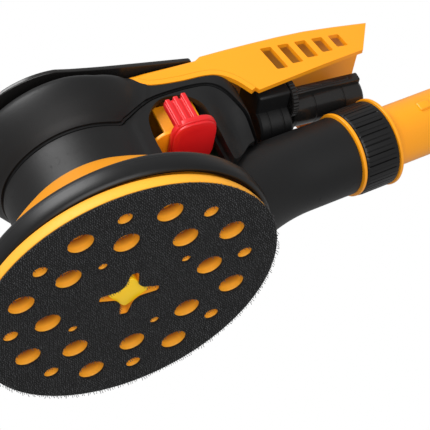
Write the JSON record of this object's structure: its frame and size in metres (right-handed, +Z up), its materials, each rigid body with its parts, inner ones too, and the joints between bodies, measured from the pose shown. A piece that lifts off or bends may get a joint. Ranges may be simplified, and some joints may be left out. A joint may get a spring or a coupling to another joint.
{
  "type": "random orbital sander",
  "caption": "Palm-grip random orbital sander with a multi-hole hook pad, paddle start lever, vented tail hood and swivelling dust hose adaptor.",
  "frame": {"origin": "centre of the bounding box in the plane of the hook face, the surface the sander stands on", "axes": "+X from the head towards the hose adaptor, +Z up through the motor, +Y to complete a right-handed frame; the red control lever is on the -Y side"},
  "size_m": [0.2766, 0.15, 0.109],
  "materials": {
    "orange_shell": "satin moulded ABS, fine texture",
    "amber_foam": "closed-cell polyurethane foam",
    "black_shell": "fine-grained soft-touch overmould",
    "black_satin": "satin moulded nylon",
    "black_rubber": "moulded rubber",
    "hook_fabric": "woven hook fastener",
    "red_lever": "satin moulded plastic",
    "steel": "ground steel",
    "aluminium": "machined casting",
    "copper": "enamelled copper wire",
    "iron": "sintered iron and laminations",
    "contact_brass": "plated contact",
    "board_green": "glass-epoxy board with solder mask",
    "capacitor_sleeve": "shrunk sleeve"
  },
  "bodies": {
    "housing": {"motor_stator": "iron", "winding_lower": "copper", "winding_upper": "copper", "bearing_carrier": "aluminium", "motor_bearing_lower": "steel", "motor_bearing_upper": "steel", "lower_housing": "orange_shell", "dust_shroud": "black_rubber", "brake_seal": "black_rubber", "lower_shell": "black_shell", "upper_shell": "black_shell", "hood_trim": "orange_shell", "tail_hood": "orange_shell", "housing_screw_1": "steel", "housing_screw_2": "steel", "housing_screw_3": "steel", "housing_screw_4": "steel", "exhaust_duct": "black_shell", "start_lever_pin": "steel", "switch_body": "black_satin", "start_lever_spring": "steel", "control_lever_pin": "steel", "lever_bracket": "orange_shell", "electronics_box": "black_shell", "inlet_housing": "black_satin", "inlet_pin_live": "contact_brass", "inlet_pin_neutral": "contact_brass", "circuit_board": "board_green", "capacitor_left": "capacitor_sleeve", "capacitor_right": "capacitor_sleeve", "drive_heat_sink": "aluminium"},
    "rotor": {"motor_shaft": "steel", "rotor_magnet": "iron", "cooling_fan": "black_satin", "counterweight": "iron", "spindle_bearing_lower": "steel", "spindle_bearing_upper": "steel"},
    "pad": {"hook_face": "hook_fabric", "pad_foam": "amber_foam", "pad_plate": "orange_shell", "pad_stud": "steel", "pad_spindle": "steel"},
    "start_lever": {"start_lever": "black_satin"},
    "switch_plunger": {"switch_plunger": "red_lever"},
    "control_lever": {"control_lever": "red_lever"},
    "speed_dial": {"speed_dial": "black_satin", "dial_shaft": "steel"},
    "hose_swivel": {"hose_adaptor": "orange_shell", "collar_grip": "black_rubber", "adaptor_seal": "black_rubber"}
  },
  "joints": [
    {"name": "motor_spin", "type": "hinge", "parent": "housing", "child": "rotor", "pos_m": [-0.06098, -0.00085, 0.06], "axis": [0, 0, 1], "continuous": true},
    {"name": "pad_spin", "type": "hinge", "parent": "rotor", "child": "pad", "pos_m": [-0.06333, 0, 0.02], "axis": [0, 0, 1], "continuous": true},
    {"name": "start_lever_press", "type": "hinge", "parent": "housing", "child": "start_lever", "pos_m": [0.00472, -0.00085, 0.099], "axis": [0, -1, 0], "range_deg": [0, 2.4], "stiffness_Nm_per_rad": 1.5, "springref_deg": -2.86, "deforming": ["start_lever_spring"]},
    {"name": "switch_travel", "type": "slide", "parent": "housing", "child": "switch_plunger", "axis": [0, 0, -1], "range_m": [0, 0.00165]},
    {"name": "control_lever_swing", "type": "hinge", "parent": "housing", "child": "control_lever", "pos_m": [-0.01128, -0.02206, 0.058], "axis": [0, 0, -1], "range_deg": [0, 10]},
    {"name": "speed_dial_turn", "type": "hinge", "parent": "housing", "child": "speed_dial", "pos_m": [0.05112, -0.01256, 0.08197], "axis": [1, 0, 0], "range_deg": [0, 270]},
    {"name": "hose_swivel_turn", "type": "hinge", "parent": "housing", "child": "hose_swivel", "pos_m": [0.0679, -0.00085, 0.0478], "axis": [0.9914, 0, 0.1305], "continuous": true}
  ],
  "couplings": [
    {"joint": "switch_travel", "follows": "start_lever_press", "m_per_rad": 0.038}
  ]
}
